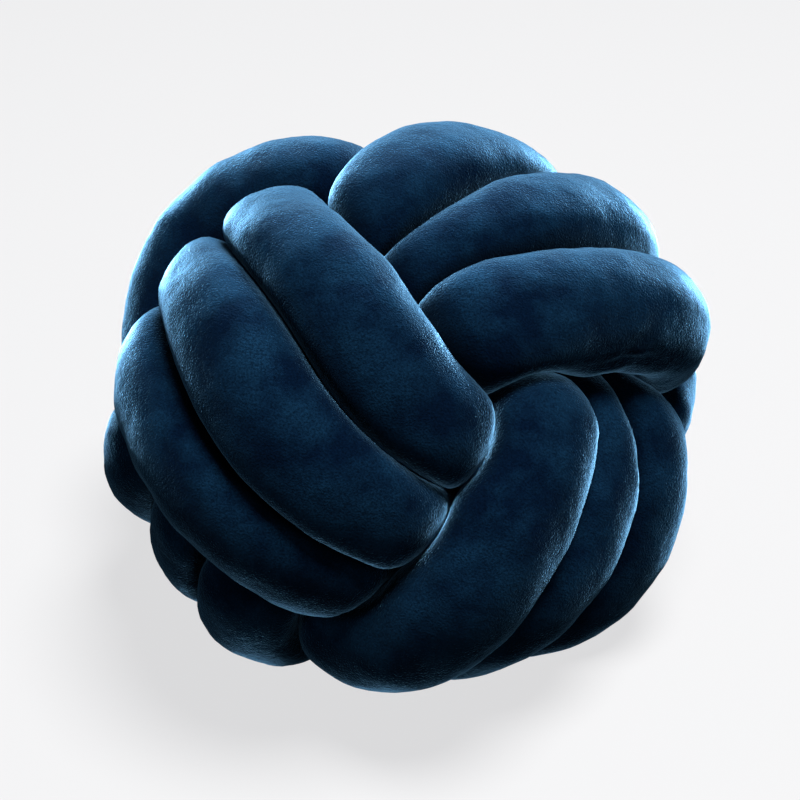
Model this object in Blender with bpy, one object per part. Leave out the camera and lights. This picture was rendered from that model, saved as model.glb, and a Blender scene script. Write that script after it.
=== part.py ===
"""Knot cushion: one long tube of short plush, filled and tied into a ball.

The tying is a fist of three bands of three turns. Each band stands at right angles to the other two, and
its turns run over one neighbour and under the other. The tube goes through the bands one after the other,
without a break, and both of its ends are tucked inside the ball.
"""
import bpy
import numpy as np
from mathutils.bvhtree import BVHTree

MM = 0.001

# The tube, in millimetres.
TUBE_RADIUS = 27.5          # where nothing presses on it
TUBE_STRETCH = 1.25         # the most that the plush lets it grow past that, in the open
CORE_STRETCH = 1.80         # and where it fills the middle of the ball
TUBE_GAP = 3.0              # left between one turn and the next
LEAST_SPACING = 30.0        # from the middle of one turn to the next, where they are pressed hardest
OWN_STRETCH = 95.0          # along the tube, that counts as one and the same turn
LEAST_RADIUS = 4.0          # that a turn is ever pressed to
LEAST_SWELL = 0.9           # of a pressed turn's thickness, over the tube's own
TUBE_FIRMNESS = 12.0        # how squarely a turn flattens against its neighbour
END_LENGTH = 10.0           # of each rounded, closed end
END_WIDTH = 0.45            # how thick the tube still is there, over its own thickness
END_TAPER = 60.0            # over which it narrows to that
FAR = 1000.0                # further than anything reaches

# The bands. Each has two axes that its turns run round, and a third that they lie side by side along.
BAND_AXES = {"left": (0, 1, 2), "low": (1, 2, 0), "high": (2, 0, 1)}

# Degrees that each band leans about those three axes.
BAND_LEAN = {"left": (6, 10, 5), "low": (7, 3, -1), "high": (6, 3, -14)}

# How each turn lies where it shows. Its front half faces the viewer.
#   reach       mm from the ball's middle to the tube's middle, at the top of the turn
#   side        degrees off the middle of its band
#   skew        degrees that it leans across the band
#   arch        degrees that it bows sideways
#   lop         mm that it stands further out towards one end than towards the other
#   plump       its thickness, over the tube's own
#   back_reach  the reach of its back half
#   back_side   the side of its back half
TURN_COLUMNS = ("reach", "side", "skew", "arch", "lop", "plump", "back_reach", "back_side")
TURNS = {
    ("left", 1): (123, 26, -4, -8, -6, 0.97, 153, 36),
    ("left", 0): (127, 3, -12, -2, -1, 0.97, 117, 3),
    ("left", -1): (120, -18, -2, 2, 5, 0.98, 104, -23),
    ("low", 1): (117, 25, 3, -5, -20, 0.98, 126, 20),
    ("low", 0): (115, 1, -2, -9, -7, 0.95, 115, 1),
    ("low", -1): (127, -28, 0, 3, 4, 1.05, 123, -25),
    ("high", 1): (133, 25, 1, -3, 8, 0.98, 106, 20),
    ("high", 0): (129, 1, 0, -4, -10, 1.15, 105, 1),
    ("high", -1): (122, -21, -1, -12, -5, 1.15, 111, -27),
}
UNDER_REACH = 56.0          # mm from the ball's middle to the tube's, where it passes under a band
UNDER_SIDE = 22.0           # degrees from one turn to the next there

# The tying, band after band. The tube comes into a band at an angle round it and goes one way round,
# and it moves over to the band's next turn where it passes under another band.
#   band, angle where its count starts, way round, its turns in order,
#   degrees of travel at which it moves over, degrees of travel where it comes in and goes out
TYING = (
    ("high", 270, -1, (1, 0, -1), (360, 720), (20, 1070)),
    ("left", 225, -1, (-1, 0, 1), (315, 675), (45, 1055)),
    ("low", 135, 1, (-1, 0, 1), (315, 675), (45, 1041)),
)
MOVE_OVER = 120.0           # degrees of travel that each move takes
GUIDE_STEP = 15.0           # degrees of travel between the guide points of the route

# How the ball lies. It is turned, tipped and rolled as it faces a viewer, who looks down on it.
BALL_TURN = 29.0
BALL_TIP = 8.0
BALL_ROLL = 47.0
LOOK_DOWN = 35.0
SETTLE = 0.89               # its height under its own weight, over its free height
FLAT_DEPTH = 11.0           # mm that the floor presses its underside in
FLAT_PRESS = 0.6            # mm more, that makes the pressed spots quite flat

# How finely it is drawn.
ROUTE_PER_GUIDE = 8         # points between two guide points
ROUTE_POINTS = 1020         # along the whole tube
ROUTE_EASING = 12           # times that the route is evened out
JOIN_LENGTH = 3             # guide points to either side of the step from band to band
JOIN_EASING = 4             # times that they are evened out
RINGS = 335
WIDE_BEND = 45.0            # mm, the radius of bend under which the rings stand closer
BEND_DETAIL = 150.0         # and how much closer
SIDES = 16
END_RINGS = 3
FIRST_SIDE = (0.3, 0.9, 0.2)    # roughly where the first ring's count starts

# How hard the turns are worked on until they lie together: rounds, and the share of the way in each.
APART_EVERY = 3             # points of the route from one that is moved to the next
APART_ROUNDS = 80
APART_SHARE = 0.6
APART_EASING = 4
SWELL_ROUNDS = 6
SWELL_SHARE = 0.8
SWELL_EASING = 20
WALL_EASING = 2
DRAW_IN_ROUNDS = 16
DRAW_IN_SHARE = 0.04
LEAST_FACING = 0.02         # cosine under which a side counts as turned away from what it meets

PLUSH_BLUE = (0.010, 0.045, 0.095, 1.0)
PLUSH_ROUGHNESS = 0.9


def clear_scene():
    for thing in list(bpy.data.objects):
        bpy.data.objects.remove(thing, do_unlink=True)


def smooth_step(x):
    x = np.clip(x, 0.0, 1.0)
    return x * x * (3.0 - 2.0 * x)


def eased(values, times):
    """Evens a row of values out, each towards its two neighbours. The ends stay."""
    values = values.copy()
    for _ in range(times):
        values[1:-1] = 0.5 * values[1:-1] + 0.25 * (values[:-2] + values[2:])
    return values


def turn_about(axis, degrees):
    """The matrix that turns points about one of the three axes."""
    cosine, sine = np.cos(np.radians(degrees)), np.sin(np.radians(degrees))
    first, second = [(1, 2), (2, 0), (0, 1)][axis]
    matrix = np.eye(3)
    matrix[first, first] = matrix[second, second] = cosine
    matrix[first, second] = -sine
    matrix[second, first] = sine
    return matrix


def view_axes():
    """Rows that point right, up and towards the viewer, in the ball's own axes."""
    turn, tip, roll = np.radians((BALL_TURN, BALL_TIP, BALL_ROLL))
    toward = np.array((np.cos(tip) * np.cos(turn), np.cos(tip) * np.sin(turn), np.sin(tip)))
    level = np.array((-np.sin(turn), np.cos(turn), 0.0))
    upright = np.cross(toward, level)
    right = level * np.cos(roll) + upright * np.sin(roll)
    up = upright * np.cos(roll) - level * np.sin(roll)
    return right, up, toward


def ball_to_world():
    """The matrix from the ball's own axes to +X right, -Y towards the viewer and +Z up."""
    right, up, toward = view_axes()
    look = np.radians(LOOK_DOWN)
    rows = (right, -np.cos(look) * toward + np.sin(look) * up, np.sin(look) * toward + np.cos(look) * up)
    return np.stack(rows)


def route_through(band, start, way, turns, moves, ends):
    """Guide points of the tube's middle through one band, with its plumpness and how far it is under.

    A point's angle round the band sets how much it counts as front, back and under: the squares of the
    cosine and the sine. Its reach and its side angle are the turn's own values, mixed in those shares.
    """
    travel = np.arange(ends[0], ends[1], GUIDE_STEP)
    turn = np.full(len(travel), float(turns[0]))
    for move, before, after in zip(moves, turns[:-1], turns[1:]):
        turn += (after - before) * smooth_step((travel - move) / MOVE_OVER + 0.5)

    def of_turn(column):
        place = TURN_COLUMNS.index(column)
        return np.interp(turn, (-1, 0, 1), [TURNS[band, number][place] for number in (-1, 0, 1)])

    angle = np.radians(start + way * travel)
    out, across = np.cos(angle), np.sin(angle)
    front, back, under = np.maximum(out, 0.0) ** 2, np.maximum(-out, 0.0) ** 2, across ** 2
    reach = front * (of_turn("reach") + 2.0 * across * of_turn("lop"))
    reach += back * of_turn("back_reach") + under * UNDER_REACH
    side = front * (of_turn("side") + 2.0 * across * of_turn("skew") + 4.0 * under * of_turn("arch"))
    side += back * of_turn("back_side") + under * UNDER_SIDE * turn
    side = np.radians(side)
    local = np.stack((reach * out * np.cos(side), reach * across * np.cos(side), reach * np.sin(side)), -1)
    for axis in (2, 1, 0):
        local = local @ turn_about(axis, BAND_LEAN[band][axis]).T
    points = np.zeros_like(local)
    points[:, BAND_AXES[band]] = local
    plump = 1.0 + front * (of_turn("plump") - 1.0)
    return points, plump, under


def curve_through(guides):
    """A smooth curve through the guide points: each stretch bends as its neighbours ask."""
    ahead = 2.0 * guides[-1] - guides[-2]
    behind = 2.0 * guides[0] - guides[1]
    padded = np.concatenate(([behind], guides, [ahead]))
    before, here, there, after = padded[:-3, None], padded[1:-2, None], padded[2:-1, None], padded[3:, None]
    t = (np.arange(ROUTE_PER_GUIDE) / ROUTE_PER_GUIDE)[None, :, None]
    stretch = here + 0.5 * t * (there - before)
    stretch = stretch + 0.5 * t ** 2 * (2.0 * before - 5.0 * here + 4.0 * there - after)
    stretch = stretch + 0.5 * t ** 3 * (3.0 * here - before - 3.0 * there + after)
    return np.concatenate((stretch.reshape(-1, 3), guides[-1:]))


def move_apart(route, distance):
    """Moves stretches of the tube that lie too close to each other apart, a little at a time."""
    coarse = np.arange(0, len(route), APART_EVERY)
    middle, along = route[coarse], distance[coarse]
    other = np.abs(along[:, None] - along) > OWN_STRETCH
    for _ in range(APART_ROUNDS):
        gap = middle[:, None] - middle
        length = np.maximum(np.linalg.norm(gap, axis=2), LEAST_RADIUS)
        short = np.where(other, np.maximum(LEAST_SPACING - length, 0.0), 0.0)
        push = (gap * (short / length)[..., None]).sum(1) / np.maximum((short > 0.0).sum(1), 1)[:, None]
        middle = middle + APART_SHARE * eased(push, APART_EASING)
    moved = middle - route[coarse]
    return route + np.stack([np.interp(distance, along, moved[:, axis]) for axis in range(3)], -1)


def tube_route():
    """The tube's middle from end to end, evenly spaced, in world axes and millimetres."""
    parts = [route_through(*band) for band in TYING]
    guides = np.concatenate([part[0] for part in parts]) @ ball_to_world().T
    guides[:, 2] *= SETTLE
    guide_number = np.arange(len(guides))
    joins = np.cumsum([len(part[0]) for part in parts])[:-1] - 0.5
    near_join = np.abs(guide_number[:, None] - joins).min(1) < JOIN_LENGTH
    for _ in range(JOIN_EASING):
        guides = np.where(near_join[:, None], eased(guides, 1), guides)
    curve = curve_through(guides)
    curve_number = np.arange(len(curve)) / ROUTE_PER_GUIDE
    run = np.concatenate(([0.0], np.cumsum(np.linalg.norm(np.diff(curve, axis=0), axis=1))))
    distance = np.linspace(0.0, run[-1], ROUTE_POINTS)
    route = np.stack([np.interp(distance, run, curve[:, axis]) for axis in range(3)], -1)
    route = eased(move_apart(route, distance), ROUTE_EASING)
    number = np.interp(distance, run, curve_number)
    plump = np.interp(number, guide_number, np.concatenate([part[1] for part in parts]))
    from_end = np.minimum(distance, distance[-1] - distance)
    plump *= END_WIDTH + (1.0 - END_WIDTH) * smooth_step(from_end / END_TAPER)
    under = np.interp(number, guide_number, np.concatenate([part[2] for part in parts]))
    return route, distance, plump, under


def ring_directions(route):
    """Unit directions from the tube's middle to its sides, carried along without twisting."""
    along = np.gradient(route, axis=0)
    along /= np.linalg.norm(along, axis=1, keepdims=True)
    first = np.cross(along[0], FIRST_SIDE)
    rows = [first / np.linalg.norm(first)]
    for direction in along[1:]:
        row = rows[-1] - direction * (rows[-1] @ direction)
        rows.append(row / np.linalg.norm(row))
    side = np.array(rows)
    other = np.cross(along, side)
    angle = np.arange(SIDES) * 2.0 * np.pi / SIDES
    return side[:, None] * np.cos(angle)[:, None] + other[:, None] * np.sin(angle)[:, None]


def room_between_turns(route, distance, plump, directions):
    """How far each side can go before it meets another stretch of the tube, half-way, or the floor."""
    within = 3.0 * CORE_STRETCH * TUBE_RADIUS
    room = np.full(directions.shape[:2], FAR)
    for number, middle in enumerate(route):
        gap = route - middle
        length = np.linalg.norm(gap, axis=1)
        others = (np.abs(distance - distance[number]) > OWN_STRETCH) & (length < within)
        facing = directions[number] @ gap[others].T / length[others]
        share = plump[number] / (plump[number] + plump[others])
        plane = (length[others] - TUBE_GAP) * share
        meets = plane / np.maximum(facing, LEAST_FACING)
        room[number] = np.where(facing > LEAST_FACING, meets, FAR).min(1)
    floor = (route[:, 2] - plump * TUBE_RADIUS).min() + FLAT_DEPTH
    down = np.maximum(-directions[..., 2], LEAST_FACING)
    room = np.minimum(room, (route[:, 2] - floor)[:, None] / down)
    return np.maximum(room, LEAST_RADIUS)


def pressed(swollen, room):
    """The lesser of a ring's own radius and its room, with a rounded edge between the two."""
    return (swollen[:, None] ** -TUBE_FIRMNESS + room ** -TUBE_FIRMNESS) ** (-1.0 / TUBE_FIRMNESS)


def tube_radii(room, plump, under):
    """Each ring's radii: round where it is free, flat where it presses on a neighbour.

    A ring that is pressed on one side swells on the others, until the plush is as long round it as before.
    """
    free = TUBE_RADIUS * plump
    stretch = TUBE_STRETCH + (CORE_STRETCH - TUBE_STRETCH) * under ** 4
    girth = 2.0 * np.pi * free * (1.0 + 0.5 * (stretch - TUBE_STRETCH))
    swollen = free
    for _ in range(SWELL_ROUNDS):
        radii = pressed(swollen, room)
        ahead = np.roll(radii, -1, 1)
        chords = radii ** 2 + ahead ** 2 - 2.0 * radii * ahead * np.cos(2.0 * np.pi / SIDES)
        growth = 1.0 + SWELL_SHARE * (girth / np.sqrt(chords).sum(1) - 1.0)
        swollen = np.clip(swollen * growth, LEAST_SWELL * free, free * stretch)
    radii = pressed(eased(swollen, SWELL_EASING), room)
    for _ in range(WALL_EASING):
        radii = eased(radii, 1)
        radii = 0.5 * radii + 0.25 * (np.roll(radii, 1, 1) + np.roll(radii, -1, 1))
    return np.minimum(radii, room)


def closed_end(middle, ring, outward):
    """Rings that close an end like a bolster's, from its last full ring to the point in its middle."""
    outward = outward / np.linalg.norm(outward)
    rings = []
    for number in range(1, END_RINGS + 1):
        angle = 0.5 * np.pi * number / (END_RINGS + 1)
        rings.append(middle + (ring - middle) * np.cos(angle) + outward * END_LENGTH * np.sin(angle))
    return rings, middle + outward * END_LENGTH


def ring_places(route, distance):
    """The points of the route that get a ring: closer together where the tube bends."""
    along = np.gradient(route, distance, axis=0)
    bend = np.linalg.norm(np.gradient(along, distance, axis=0), axis=1)
    crowding = 1.0 + BEND_DETAIL * np.maximum(bend[1:] - 1.0 / WIDE_BEND, 0.0)
    count = np.concatenate(([0.0], np.cumsum(crowding)))
    places = np.interp(np.linspace(0.0, count[-1], RINGS), count, np.arange(len(route)))
    return np.unique(np.round(places).astype(int))


def wall_faces(count):
    """Triangles between neighbouring rings."""
    number = np.arange(count * SIDES).reshape(count, SIDES)
    beside = np.roll(number, -1, 1)
    lower = np.stack((number[:-1], beside[:-1], beside[1:]), -1)
    upper = np.stack((number[:-1], beside[1:], number[1:]), -1)
    return np.concatenate((lower, upper), 1).reshape(-1, 3)


def draw_in(rings):
    """Draws the wall in where the flat facets of two turns would still cut into each other."""
    faces = wall_faces(len(rings))
    for _ in range(DRAW_IN_ROUNDS):
        tree = BVHTree.FromPolygons(rings.reshape(-1, 3).tolist(), faces.tolist(), all_triangles=True)
        pairs = np.array(tree.overlap(tree), dtype=int).reshape(-1, 2)
        first, second = faces[pairs[:, 0]], faces[pairs[:, 1]]
        apart = (first[:, :, None] != second[:, None]).all((1, 2))
        touched = np.zeros(rings.shape[:2])
        touched.flat[np.unique(first[apart])] = 1.0
        middle = rings.mean(1, keepdims=True)
        rings = middle + (rings - middle) * (1.0 - DRAW_IN_SHARE * touched[..., None])
    return rings


def tube_surface():
    """The rings of the whole tube, end to end, and the two points that close it."""
    route, distance, plump, under = tube_route()
    directions = ring_directions(route)
    radii = tube_radii(room_between_turns(route, distance, plump, directions), plump, under)
    surface = route[:, None] + directions * radii[..., None]
    rings = list(surface[ring_places(route, distance)])
    first_rings, first_point = closed_end(route[0], rings[0], route[0] - route[1])
    last_rings, last_point = closed_end(route[-1], rings[-1], route[-1] - route[-2])
    return draw_in(np.array(first_rings[::-1] + rings + last_rings)), first_point, last_point


def set_down(points):
    """Presses the underside flat, stands it on Z = 0 and centres it over the origin."""
    floor = points[:, 2].min() + FLAT_PRESS
    points[:, 2] = np.maximum(points[:, 2], floor) - floor
    points[:, :2] -= 0.5 * (points[:, :2].min(0) + points[:, :2].max(0))
    return points


def plush_material():
    material = bpy.data.materials.new("plush")
    material.use_nodes = True
    shader = material.node_tree.nodes["Principled BSDF"]
    shader.inputs["Base Color"].default_value = PLUSH_BLUE
    shader.inputs["Roughness"].default_value = PLUSH_ROUGHNESS
    shader.inputs["Metallic"].default_value = 0.0
    material.diffuse_color = PLUSH_BLUE
    return material


def knotted_tube():
    rings, first_point, last_point = tube_surface()
    count = len(rings)
    points = set_down(np.concatenate((rings.reshape(-1, 3), [first_point, last_point])))
    side = np.arange(SIDES)
    beside = np.roll(side, -1)
    last_ring = (count - 1) * SIDES
    first_cap = np.stack((beside, side, np.full(SIDES, count * SIDES)), -1)
    last_cap = np.stack((last_ring + side, last_ring + beside, np.full(SIDES, count * SIDES + 1)), -1)
    mesh = bpy.data.meshes.new("knotted_tube")
    faces = np.concatenate((wall_faces(count), first_cap, last_cap)).tolist()
    mesh.from_pydata((points * MM).tolist(), [], faces)
    mesh.materials.append(plush_material())
    mesh.shade_smooth()
    mesh.update()
    thing = bpy.data.objects.new("knotted_tube", mesh)
    bpy.context.scene.collection.objects.link(thing)
    return thing


clear_scene()
knotted_tube()
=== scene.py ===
"""The looks of a knot cushion: its tied plush tube with creases, folds, pile and nap, on a pale floor."""

import bpy
import numpy as np
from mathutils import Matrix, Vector


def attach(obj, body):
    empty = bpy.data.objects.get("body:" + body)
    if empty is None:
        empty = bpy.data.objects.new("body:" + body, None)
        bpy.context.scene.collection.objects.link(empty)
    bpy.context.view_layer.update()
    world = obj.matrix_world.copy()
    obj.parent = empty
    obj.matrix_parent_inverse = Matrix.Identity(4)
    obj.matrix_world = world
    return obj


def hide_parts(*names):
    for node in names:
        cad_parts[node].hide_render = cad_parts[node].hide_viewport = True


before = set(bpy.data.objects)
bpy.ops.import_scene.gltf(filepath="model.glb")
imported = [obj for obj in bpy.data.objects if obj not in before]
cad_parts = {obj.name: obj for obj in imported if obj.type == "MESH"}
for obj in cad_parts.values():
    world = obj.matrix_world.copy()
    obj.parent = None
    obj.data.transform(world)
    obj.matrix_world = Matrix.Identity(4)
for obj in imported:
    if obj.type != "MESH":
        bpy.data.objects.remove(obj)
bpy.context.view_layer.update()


# ---------------------------------------------------------------------------------------------------------
# The cushion: one long tube of short plush, sewn along its side, stuffed with loose fibre and tied as three
# bands of three turns, each band at right angles to the other two. Each turn goes over one neighbour and
# under the other, and both ends are tucked in. Lengths are millimetres and angles degrees.
MM = 0.001

# How it is tied. A turn has its reach from the ball's middle and its side angle in front, how they tilt and
# bow there, its plumpness, and its reach and side angle behind. Under the other bands all turns run alike.
BAND_AXES = {"left": (0, 1, 2), "low": (1, 2, 0), "high": (2, 0, 1)}
BAND_LEAN = {"left": (6, 10, 5), "low": (7, 3, -1), "high": (6, 3, -14)}
TURN_COLUMNS = ("reach", "side", "skew", "arch", "lop", "plump", "back_reach", "back_side")
TURN_NUMBERS = (-1, 0, 1)
TURNS = {
    ("left", 1): (123, 26, -4, -8, -6, 0.97, 153, 36),
    ("left", 0): (127, 3, -12, -2, -1, 0.97, 117, 3),
    ("left", -1): (120, -18, -2, 2, 5, 0.98, 104, -23),
    ("low", 1): (117, 25, 3, -5, -20, 0.98, 126, 20),
    ("low", 0): (115, 1, -2, -9, -7, 0.95, 115, 1),
    ("low", -1): (127, -28, 0, 3, 4, 1.05, 123, -25),
    ("high", 1): (133, 25, 1, -3, 8, 0.98, 106, 20),
    ("high", 0): (129, 1, 0, -4, -10, 1.15, 105, 1),
    ("high", -1): (122, -21, -1, -12, -5, 1.15, 111, -27),
}
UNDER_REACH = 56.0
UNDER_SIDE = 22.0

# The tube's way through the bands: the angle where it starts, which way round it goes, its turns in order,
# how far along it moves over to the next turn, and where it comes in and leaves.
TYING = (
    ("high", 270, -1, (1, 0, -1), (360, 720), (20, 1070)),
    ("left", 225, -1, (-1, 0, 1), (315, 675), (45, 1055)),
    ("low", 135, 1, (-1, 0, 1), (315, 675), (45, 1041)),
)
MOVE_OVER = 120.0
GUIDE_STEP = 15.0
ROUTE_PER_GUIDE = 8
ROUTE_POINTS = 1020
ROUTE_EASING = 12
JOIN_LENGTH = 3
JOIN_EASING = 4

# Where two stretches of the tube come too close in the ball's core, they push each other away.
APART_EVERY = 3
APART_ROUNDS = 80
APART_SHARE = 0.6
APART_EASING = 4
APART_LEAST = 1.0
LEAST_SPACING = 30.0
OWN_STRETCH = 95.0

# How the ball lies before a viewer who looks down on it, and how far it sinks under its own weight.
BALL_TURN = 29.0
BALL_TIP = 8.0
BALL_ROLL = 47.0
LOOK_DOWN = 35.0
SETTLE = 0.89


def smooth_step(x):
    """Rises from 0 to 1 as three times x squared less twice x cubed, level at both ends."""
    x = np.clip(x, 0.0, 1.0)
    return x * x * (3.0 - 2.0 * x)


def eased(values, times):
    """Each value goes half of the way to the mean of its two neighbours, again and again. The ends stay."""
    values = values.copy()
    for _ in range(times):
        values[1:-1] = 0.5 * values[1:-1] + 0.25 * (values[:-2] + values[2:])
    return values


def turn_about(axis, degrees):
    """The matrix that turns points about one of the three axes: a cosine and a sine in the other two."""
    cosine, sine = np.cos(np.radians(degrees)), np.sin(np.radians(degrees))
    first, second = [(1, 2), (2, 0), (0, 1)][axis]
    matrix = np.eye(3)
    matrix[first, first] = matrix[second, second] = cosine
    matrix[first, second] = -sine
    matrix[second, first] = sine
    return matrix


def view_rows():
    """Right, up and towards the viewer in world axes, for a viewer at -Y who looks down on the ball."""
    look = np.radians(LOOK_DOWN)
    return np.array(((1.0, 0.0, 0.0), (0.0, np.sin(look), np.cos(look)), (0.0, -np.cos(look), np.sin(look))))


def ball_to_world():
    """The ball is turned and tipped to face the viewer and rolled about the line of sight."""
    turn, tip, roll = np.radians((BALL_TURN, BALL_TIP, BALL_ROLL))
    toward = np.array((np.cos(tip) * np.cos(turn), np.cos(tip) * np.sin(turn), np.sin(tip)))
    level = np.array((-np.sin(turn), np.cos(turn), 0.0))
    upright = np.cross(toward, level)
    right = level * np.cos(roll) + upright * np.sin(roll)
    up = upright * np.cos(roll) - level * np.sin(roll)
    return view_rows().T @ np.stack((right, up, toward))


def route_through(band, start, way, turns, moves, ends):
    """Guide points of the tube's middle through one band, its plumpness and how far it is under.

    The squares of the cosine and the sine of a point's angle round the band are its shares of front, back
    and under. Its reach from the ball's middle and its side angle are each turn's own values in those shares.
    In front, twice the sine brings in the lop and the skew, and four times its square brings in the arch.
    """
    travel = np.arange(ends[0], ends[1], GUIDE_STEP)
    turn = np.full(len(travel), float(turns[0]))
    for move, before, after in zip(moves, turns[:-1], turns[1:]):
        turn += (after - before) * smooth_step((travel - move) / MOVE_OVER + 0.5)

    def of_turn(column):
        place = TURN_COLUMNS.index(column)
        return np.interp(turn, TURN_NUMBERS, [TURNS[band, number][place] for number in TURN_NUMBERS])

    angle = np.radians(start + way * travel)
    out, across = np.cos(angle), np.sin(angle)
    front, back, under = np.maximum(out, 0.0) ** 2, np.maximum(-out, 0.0) ** 2, across ** 2
    reach = front * (of_turn("reach") + 2.0 * across * of_turn("lop"))
    reach += back * of_turn("back_reach") + under * UNDER_REACH
    side = front * (of_turn("side") + 2.0 * across * of_turn("skew") + 4.0 * under * of_turn("arch"))
    side += back * of_turn("back_side") + under * UNDER_SIDE * turn
    side = np.radians(side)
    local = np.stack((reach * out * np.cos(side), reach * across * np.cos(side), reach * np.sin(side)), -1)
    for axis in (2, 1, 0):
        local = local @ turn_about(axis, BAND_LEAN[band][axis]).T
    points = np.zeros_like(local)
    points[:, BAND_AXES[band]] = local
    return points, 1.0 + front * (of_turn("plump") - 1.0), under


def curve_through(guides):
    """A cubic through the guide points whose slope at each is half the step between its two neighbours."""
    padded = np.concatenate(([2.0 * guides[0] - guides[1]], guides, [2.0 * guides[-1] - guides[-2]]))
    before, here, there, after = padded[:-3, None], padded[1:-2, None], padded[2:-1, None], padded[3:, None]
    t = (np.arange(ROUTE_PER_GUIDE) / ROUTE_PER_GUIDE)[None, :, None]
    stretch = here + 0.5 * t * (there - before)
    stretch = stretch + 0.5 * t ** 2 * (2.0 * before - 5.0 * here + 4.0 * there - after)
    stretch = stretch + 0.5 * t ** 3 * (3.0 * here - before - 3.0 * there + after)
    return np.concatenate((stretch.reshape(-1, 3), guides[-1:]))


def move_apart(route, distance):
    """Points of the tube's middle nearer than the least spacing push each other away along their line."""
    coarse = np.arange(0, len(route), APART_EVERY)
    middle, along = route[coarse], distance[coarse]
    other = np.abs(along[:, None] - along) > OWN_STRETCH
    for _ in range(APART_ROUNDS):
        gap = middle[:, None] - middle
        length = np.maximum(np.linalg.norm(gap, axis=2), APART_LEAST)
        short = np.where(other, np.maximum(LEAST_SPACING - length, 0.0), 0.0)
        push = (gap * (short / length)[..., None]).sum(1) / np.maximum((short > 0.0).sum(1), 1)[:, None]
        middle = middle + APART_SHARE * eased(push, APART_EASING)
    moved = middle - route[coarse]
    return route + np.stack([np.interp(distance, along, moved[:, axis]) for axis in range(3)], -1)


def resampled(distance, values, at):
    """Each column of the values, read at other distances along the tube."""
    return np.stack([np.interp(at, distance, column) for column in values.T], -1)


def tube_route():
    """The tube's middle from end to end, evenly spaced, in world axes."""
    parts = [route_through(*band) for band in TYING]
    guides = np.concatenate([part[0] for part in parts]) @ ball_to_world().T
    guides[:, 2] *= SETTLE
    number = np.arange(len(guides))
    joins = np.cumsum([len(part[0]) for part in parts])[:-1] - 0.5
    near_join = np.abs(number[:, None] - joins).min(1) < JOIN_LENGTH
    for _ in range(JOIN_EASING):
        guides = np.where(near_join[:, None], eased(guides, 1), guides)
    curve = curve_through(guides)
    run = np.concatenate(([0.0], np.cumsum(np.linalg.norm(np.diff(curve, axis=0), axis=1))))
    distance = np.linspace(0.0, run[-1], ROUTE_POINTS)
    route = eased(move_apart(resampled(run, curve, distance), distance), ROUTE_EASING)
    at_guide = np.interp(distance, run, np.arange(len(curve)) / ROUTE_PER_GUIDE)
    plump = np.interp(at_guide, number, np.concatenate([part[1] for part in parts]))
    under = np.interp(at_guide, number, np.concatenate([part[2] for part in parts]))
    return route, distance, plump, under


# How it is filled. Where the turns press on each other and on the floor the tube goes flat, and it swells
# where it is free. It may stretch more in the ball's core, where nobody sees it.
TUBE_RADIUS = 27.5
TUBE_STRETCH = 1.25
CORE_STRETCH = 1.80
CORE_POWER = 4
CORE_SLACK = 0.5
TUBE_GAP = 0.8
LEAST_RADIUS = 4.0
LEAST_SWELL = 0.9
TUBE_FIRMNESS = 12.0
SWELL_ROUNDS = 8
SWELL_SHARE = 0.8
SWELL_EASING = 53
WALL_EASING = 5
END_LENGTH = 10.0
END_WIDTH = 0.45
END_TAPER = 60.0
END_RINGS = 8
FLAT_DEPTH = 11.0
FLAT_PRESS = 0.2
RINGS = 1630
RING_EASING = 4
SIDES = 60
FIRST_SIDE = (0.3, 0.9, 0.2)
LEAST_FACING = 0.02
OTHERS_WITHIN = 148.5
FREE_ROOM = 1000.0
TOUCH_FROM = 0.80
TOUCH_SPAN = 0.20

# What shows that the filling is loose: lumps of three widths, given with their heights, puckers on the inner
# side of the bends, and two folds where the right-hand turn bends down.
LUMPS = ((28.0, 0.45), (12.0, 0.14), (5.0, 0.04))
LUMP_WAVES = 24
LUMP_SEED = 11
PINCH_BEND = 60.0
PINCH_FROM = 0.4
PINCH_LENGTH = 9.0
PINCH_DEPTH = 0.7
PINCH_UNEVEN = 0.6
PINCH_PATCH = 18.0
PINCH_SEED = 20
BEND_EASING = 6
FOLD_COLUMNS = ("distance", "around", "slant", "half_length", "half_width", "depth")
FOLDS = (
    (339.0, 12.0, -50.0, 9.0, 4.5, 1.8),
    (337.0, 33.0, 0.0, 17.0, 3.5, 2.0),
)


def unit(vectors):
    """The vectors, each over its own length."""
    return vectors / np.linalg.norm(vectors, axis=-1, keepdims=True)


def ring_directions(along):
    """Unit directions from the middle to each side: a ring square to the tube, carried without twisting."""
    rows = [unit(np.cross(along[0], FIRST_SIDE))]
    for direction in along[1:]:
        rows.append(unit(rows[-1] - direction * (rows[-1] @ direction)))
    side = np.array(rows)
    other = np.cross(along, side)
    angle = (np.arange(SIDES) * 2.0 * np.pi / SIDES)[:, None]
    return side[:, None] * np.cos(angle) + other[:, None] * np.sin(angle)


def room_between_turns(route, distance, plump, directions):
    """How far each side can go before it meets the plane half-way to another stretch, or the floor."""
    room = np.full(directions.shape[:2], FREE_ROOM)
    for number, middle in enumerate(route):
        gap = route - middle
        length = np.linalg.norm(gap, axis=1)
        others = (np.abs(distance - distance[number]) > OWN_STRETCH) & (length < OTHERS_WITHIN)
        facing = directions[number] @ gap[others].T / length[others]
        share = plump[number] / (plump[number] + plump[others])
        meets = (length[others] - TUBE_GAP) * share / np.maximum(facing, LEAST_FACING)
        room[number] = np.where(facing > LEAST_FACING, meets, FREE_ROOM).min(1)
    floor = (route[:, 2] - plump * TUBE_RADIUS).min() + FLAT_DEPTH
    down = np.maximum(-directions[..., 2], LEAST_FACING)
    return np.maximum(np.minimum(room, (route[:, 2] - floor)[:, None] / down), LEAST_RADIUS)


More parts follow.
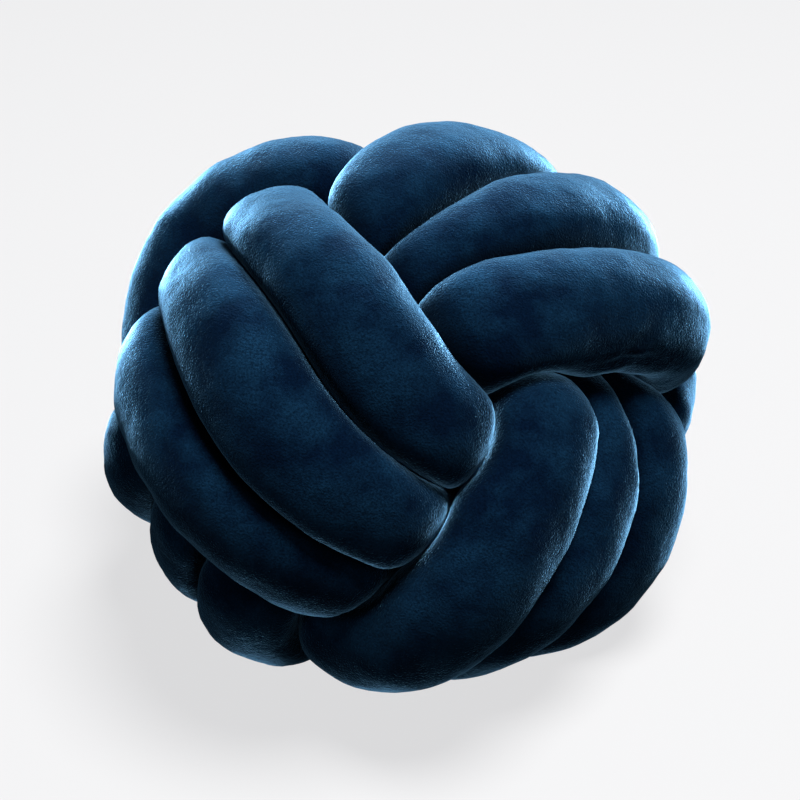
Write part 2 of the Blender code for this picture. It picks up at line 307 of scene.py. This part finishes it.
def pressed(swollen, room):
    """The lesser of a ring's own radius and its room, with a rounded edge: a mean of high negative power."""
    return (swollen[:, None] ** -TUBE_FIRMNESS + room ** -TUBE_FIRMNESS) ** (-1.0 / TUBE_FIRMNESS)


def tube_radii(room, plump, under):
    """Each ring grows where it is free until the plush is as long round it as before, up to its stretch.

    The length round a ring is the sum of the chords between neighbouring sides. The tube stretches more in
    the ball's core, by the fourth power of how far it is under, and its plush is longer by half of that.
    """
    free = TUBE_RADIUS * plump
    stretch = TUBE_STRETCH + (CORE_STRETCH - TUBE_STRETCH) * under ** CORE_POWER
    girth = 2.0 * np.pi * free * (1.0 + CORE_SLACK * (stretch - TUBE_STRETCH))
    swollen = free
    for _ in range(SWELL_ROUNDS):
        radii = pressed(swollen, room)
        ahead = np.roll(radii, -1, 1)
        chords = radii ** 2 + ahead ** 2 - 2.0 * radii * ahead * np.cos(2.0 * np.pi / SIDES)
        growth = 1.0 + SWELL_SHARE * (girth / np.sqrt(chords).sum(1) - 1.0)
        swollen = np.clip(swollen * growth, LEAST_SWELL * free, free * stretch)
    radii = pressed(eased(swollen, SWELL_EASING), room)
    for _ in range(WALL_EASING):
        radii = eased(radii, 1)
        radii = 0.5 * radii + 0.25 * (np.roll(radii, 1, 1) + np.roll(radii, -1, 1))
    return np.minimum(radii, room)


def lumps(points, wavelength, seed):
    """A soft uneven field from -1 to 1 or so: the sum of sine waves of one length in random directions."""
    random = np.random.default_rng(seed)
    waves = unit(random.normal(size=(LUMP_WAVES, 3))) * 2.0 * np.pi / wavelength
    phases = random.uniform(0.0, 2.0 * np.pi, LUMP_WAVES)
    return np.sin(points @ waves.T + phases).sum(-1) / np.sqrt(LUMP_WAVES)


def folds(distance, radii):
    """Furrows pressed into the plush, each with low ridges beside it: one less the square of the way across,
    under a bell that falls off along it and across it."""
    relief = np.zeros_like(radii)
    angle = np.arange(SIDES) * 360.0 / SIDES
    for row in FOLDS:
        fold = dict(zip(FOLD_COLUMNS, row))
        ahead = (distance - fold["distance"])[:, None]
        around = np.radians((angle - fold["around"] + 180.0) % 360.0 - 180.0) * radii
        cosine, sine = np.cos(np.radians(fold["slant"])), np.sin(np.radians(fold["slant"]))
        lengthwise = (ahead * cosine + around * sine) / fold["half_length"]
        across = (around * cosine - ahead * sine) / fold["half_width"]
        relief -= fold["depth"] * (1.0 - across ** 2) * np.exp(-lengthwise ** 2 - across ** 2)
    return relief


def closed_end(middle, ring, outward):
    """Rings of an end like a bolster's: each narrower by a cosine and further out by a sine."""
    angle = (0.5 * np.pi * np.arange(1, END_RINGS + 1) / (END_RINGS + 1))[:, None, None]
    outward = unit(outward) * END_LENGTH
    return middle + (ring - middle) * np.cos(angle) + outward * np.sin(angle), middle + outward


coarse_route, coarse_distance, coarse_plump, coarse_under = tube_route()
distance = np.linspace(0.0, coarse_distance[-1], RINGS)
route = eased(resampled(coarse_distance, coarse_route, distance), RING_EASING)
plump = np.interp(distance, coarse_distance, coarse_plump)
under = np.interp(distance, coarse_distance, coarse_under)
from_end = np.minimum(distance, distance[-1] - distance)
plump *= END_WIDTH + (1.0 - END_WIDTH) * smooth_step(from_end / END_TAPER)
along = unit(np.gradient(route, axis=0))
directions = ring_directions(along)
room = room_between_turns(route, distance, plump, directions)
radii = tube_radii(room, plump, under)
squeezed = np.clip((radii / room - TOUCH_FROM) / TOUCH_SPAN, 0.0, 1.0)
surface = route[:, None] + directions * radii[..., None]

bend = eased(np.gradient(along, distance, axis=0), BEND_EASING)
inner = np.clip((directions * bend[:, None]).sum(-1) * PINCH_BEND - PINCH_FROM, 0.0, 1.0)
ripple = np.sin(2.0 * np.pi * distance / PINCH_LENGTH)[:, None]
ripple = ripple + PINCH_UNEVEN * lumps(surface, PINCH_PATCH, PINCH_SEED)
relief = sum(size * lumps(surface, wave, LUMP_SEED + number) for number, (wave, size) in enumerate(LUMPS))
relief += PINCH_DEPTH * inner * ripple
relief += folds(distance, radii)
relief *= (1.0 - squeezed) * smooth_step(from_end / END_TAPER)[:, None]
surface = surface + directions * relief[..., None]

first_rings, first_point = closed_end(route[0], surface[0], route[0] - route[1])
last_rings, last_point = closed_end(route[-1], surface[-1], route[-1] - route[-2])
rings = np.concatenate((first_rings[::-1], surface, last_rings))
points = np.concatenate((rings.reshape(-1, 3), [first_point, last_point]))
floor_height = points[:, 2].min() + FLAT_PRESS
points[:, 2] = np.maximum(points[:, 2], floor_height)
set_down = np.append(0.5 * (points[:, :2].min(0) + points[:, :2].max(0)), floor_height)
points -= set_down

count = len(rings)
number = np.arange(count * SIDES).reshape(count, SIDES)
beside = np.roll(number, -1, 1)
walls = np.stack((number[:-1], beside[:-1], beside[1:], number[1:]), -1).reshape(-1, 4)
first_cap = np.stack((beside[0], number[0], np.full(SIDES, count * SIDES)), -1)
last_cap = np.stack((number[-1], beside[-1], np.full(SIDES, count * SIDES + 1)), -1)
mesh = bpy.data.meshes.new("plush_tube")
mesh.from_pydata((points * MM).tolist(), [], walls.tolist() + first_cap.tolist() + last_cap.tolist())
mesh.shade_smooth()
# How hard each side is pressed on another turn, kept on the mesh only to paint shade into the creases.
painted_shade_weights = np.append(np.pad(squeezed, ((END_RINGS, END_RINGS), (0, 0)), "edge"), (1.0, 1.0))
mesh.attributes.new("painted_shade_mask", "FLOAT", "POINT").data.foreach_set("value", painted_shade_weights.astype(np.float32))
mesh.update()
plush_tube = bpy.data.objects.new("plush_tube", mesh)
bpy.context.scene.collection.objects.link(plush_tube)
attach(plush_tube, "root")
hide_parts("knotted_tube")


# Its plush: a short dense pile, dark peacock blue at its tips and nearly black at its roots. The nap lies
# differently from patch to patch, and the pile's tips catch light at a glancing angle. Where the turns press
# on each other, painted shade takes the colour towards the roots' near-black. A detail is how many finer
# noises there are and how strong, and a shade is a range of a noise and the range that it becomes.
PILE_TIP = (0.0008, 0.0038, 0.0115, 1.0)
PILE_ROOT_AND_SHADE = (0.0003, 0.0010, 0.0030, 1.0)
NAP_LIGHT = (0.0024, 0.0125, 0.0290, 1.0)
PILE_SIZE = 0.9 * MM
PILE_DETAIL = (2.0, 0.5)
PILE_HEIGHT = 0.46 * MM
PILE_SHADE = (0.25, 0.75, 0.2, 1.0)
NAP_PATCH = 22.0 * MM
NAP_DETAIL = (3.0, 0.55)
NAP_HEIGHT = 1.5 * MM
NAP_SHADE = (0.38, 0.64, 0.0, 1.0)
NAP_ROUGHNESS = (0.35, 0.65, 0.95, 0.75)
# Painted shade: how far the pressing darkens the colour towards the roots' near-black.
PAINTED_SHADE_RANGE = (0.2, 1.0, 0.0, 0.8)
SHEEN_COLOUR = (0.24, 0.60, 1.00, 1.0)
SHEEN_SPREAD = 0.26

plush = bpy.data.materials.new("plush")
plush.use_nodes = True
tree = plush.node_tree
shader = tree.nodes["Principled BSDF"]
shader.inputs["Specular IOR Level"].default_value = 0.0
shader.inputs["Sheen Weight"].default_value = 1.0
shader.inputs["Sheen Roughness"].default_value = SHEEN_SPREAD
shader.inputs["Sheen Tint"].default_value = SHEEN_COLOUR


def noise_of(tree, place, size, detail):
    """A noise from 0 to 1, read at a place, with patches about as wide as the size."""
    node = tree.nodes.new("ShaderNodeTexNoise")
    node.inputs["Scale"].default_value = 1.0 / size
    node.inputs["Detail"].default_value, node.inputs["Roughness"].default_value = detail
    tree.links.new(place, node.inputs["Vector"])
    return node.outputs["Fac"]


def stretched(tree, value, ranges):
    """The value's range, the first two numbers, spread over the range of the last two and held inside it."""
    node = tree.nodes.new("ShaderNodeMapRange")
    for socket, number in zip(("From Min", "From Max", "To Min", "To Max"), ranges):
        node.inputs[socket].default_value = number
    tree.links.new(value, node.inputs["Value"])
    return node.outputs["Result"]


def mixed(tree, share, first, second):
    """A colour between two others. Each may be a fixed colour or another node's output."""
    node = tree.nodes.new("ShaderNodeMix")
    node.data_type = "RGBA"
    tree.links.new(share, node.inputs["Factor"])
    for socket, colour in ((node.inputs["A"], first), (node.inputs["B"], second)):
        if isinstance(colour, tuple):
            socket.default_value = colour
        else:
            tree.links.new(colour, socket)
    return node.outputs["Result"]


place = tree.nodes.new("ShaderNodeTexCoord").outputs["Object"]
painted_shade_mask = tree.nodes.new("ShaderNodeAttribute")
painted_shade_mask.attribute_name = "painted_shade_mask"
pile = noise_of(tree, place, PILE_SIZE, PILE_DETAIL)
nap = noise_of(tree, place, NAP_PATCH, NAP_DETAIL)
tips = stretched(tree, pile, PILE_SHADE)
brushed = stretched(tree, nap, NAP_SHADE)
tip_colour = mixed(tree, brushed, PILE_TIP, NAP_LIGHT)
pile_colour = mixed(tree, tips, PILE_ROOT_AND_SHADE, tip_colour)
# Painted shade: where the turns press on each other, the colour goes towards the roots' near-black.
painted_shade = stretched(tree, painted_shade_mask.outputs["Fac"], PAINTED_SHADE_RANGE)
tree.links.new(mixed(tree, painted_shade, pile_colour, PILE_ROOT_AND_SHADE), shader.inputs["Base Color"])
tree.links.new(stretched(tree, nap, NAP_ROUGHNESS), shader.inputs["Roughness"])
lean = tree.nodes.new("ShaderNodeBump")
lean.inputs["Distance"].default_value = NAP_HEIGHT
tree.links.new(nap, lean.inputs["Height"])
bump = tree.nodes.new("ShaderNodeBump")
bump.inputs["Distance"].default_value = PILE_HEIGHT
tree.links.new(pile, bump.inputs["Height"])
tree.links.new(lean.outputs["Normal"], bump.inputs["Normal"])
tree.links.new(bump.outputs["Normal"], shader.inputs["Normal"])
plush_tube.data.materials.append(plush)


# ---------------------------------------------------------------------------------------------------------
# The place it is shown in: a plain pale floor that glows of itself, as a lit studio sweep does, a wide soft
# light above, a small one close behind that catches the pile of the upper turns, and two weak ones for the
# sides. Only the one above lights the floor as well, and the surround is as pale as the floor's far end.
FLOOR_COLOUR = (0.075, 0.075, 0.075, 1.0)
FLOOR_GLOW = (0.70, 0.70, 0.71, 1.0)
FLOOR_ROUGHNESS = 0.9
FLOOR_HALF = 40.0
AIR_COLOUR = (1.0, 1.0, 1.0, 1.0)
AIR_LIGHT = 0.06
LIGHTS = (
    ("top_light", (0.40, -0.05, 2.30), 1.00, 165.0, True),
    ("back_light", (0.07, 0.64, 0.60), 0.36, 82.0, False),
    ("right_light", (0.95, -1.25, 0.80), 0.60, 6.0, False),
    ("left_light", (-1.40, -0.50, 0.50), 0.60, 8.0, False),
)

floor_mesh = bpy.data.meshes.new("floor")
corners = [(-FLOOR_HALF, -FLOOR_HALF, 0.0), (FLOOR_HALF, -FLOOR_HALF, 0.0)]
corners += [(FLOOR_HALF, FLOOR_HALF, 0.0), (-FLOOR_HALF, FLOOR_HALF, 0.0)]
floor_mesh.from_pydata(corners, [], [(0, 1, 2, 3)])
floor = bpy.data.objects.new("floor", floor_mesh)
bpy.context.scene.collection.objects.link(floor)
floor_finish = bpy.data.materials.new("floor")
floor_finish.use_nodes = True
floor_shader = floor_finish.node_tree.nodes["Principled BSDF"]
floor_shader.inputs["Base Color"].default_value = FLOOR_COLOUR
floor_shader.inputs["Roughness"].default_value = FLOOR_ROUGHNESS
floor_shader.inputs["Specular IOR Level"].default_value = 0.0
floor_shader.inputs["Emission Color"].default_value = FLOOR_GLOW
floor_shader.inputs["Emission Strength"].default_value = 1.0
floor.data.materials.append(floor_finish)
floor.visible_diffuse = False
floor.visible_glossy = False

cushion_only = bpy.data.collections.new("cushion_only")
cushion_only.objects.link(plush_tube)
ball_middle = -set_down * MM
for name, light_place, size, power, lights_floor in LIGHTS:
    light = bpy.data.lights.new(name, "AREA")
    light.shape = "DISK"
    light.size = size
    light.energy = power
    lamp = bpy.data.objects.new(name, light)
    bpy.context.scene.collection.objects.link(lamp)
    lamp.location = light_place
    lamp.rotation_euler = Vector(ball_middle - light_place).to_track_quat("-Z", "Y").to_euler()
    if not lights_floor:
        lamp.light_linking.receiver_collection = cushion_only

studio = bpy.data.worlds.new("studio")
studio.use_nodes = True
air = studio.node_tree
glow = air.nodes["Background"]
glow.inputs["Color"].default_value = AIR_COLOUR
glow.inputs["Strength"].default_value = AIR_LIGHT
far_wall = air.nodes.new("ShaderNodeBackground")
far_wall.inputs["Color"].default_value = FLOOR_GLOW
ray = air.nodes.new("ShaderNodeLightPath")
seen = air.nodes.new("ShaderNodeMixShader")
for number, source in enumerate((ray.outputs["Is Camera Ray"], glow.outputs[0], far_wall.outputs[0])):
    air.links.new(source, seen.inputs[number])
air.links.new(seen.outputs["Shader"], air.nodes["World Output"].inputs["Surface"])
bpy.context.scene.world = studio
bpy.context.scene.view_settings.view_transform = "Standard"


# ---------------------------------------------------------------------------------------------------------
# The camera: straight in front of the ball, above it and tilted down, at the distance and with the lens
# that give the photograph's perspective and framing. Pixels are those of its 800 by 800 frame.
FRAME_PIXELS = 800.0
FOCAL_PIXELS = 1540.0
SENSOR = 36.0
CAMERA_DISTANCE = 750.0
BALL_PIXEL = (391.0, 407.0)

camera_data = bpy.data.cameras.new("camera")
camera_data.sensor_width = SENSOR
camera_data.lens = SENSOR * FOCAL_PIXELS / FRAME_PIXELS
camera_data.shift_x = 0.5 - BALL_PIXEL[0] / FRAME_PIXELS
camera_data.shift_y = BALL_PIXEL[1] / FRAME_PIXELS - 0.5
camera = bpy.data.objects.new("camera", camera_data)
bpy.context.scene.collection.objects.link(camera)
camera.location = ball_middle + view_rows()[2] * CAMERA_DISTANCE * MM
camera.rotation_euler = (np.radians(90.0 - LOOK_DOWN), 0.0, 0.0)
bpy.context.scene.camera = camera
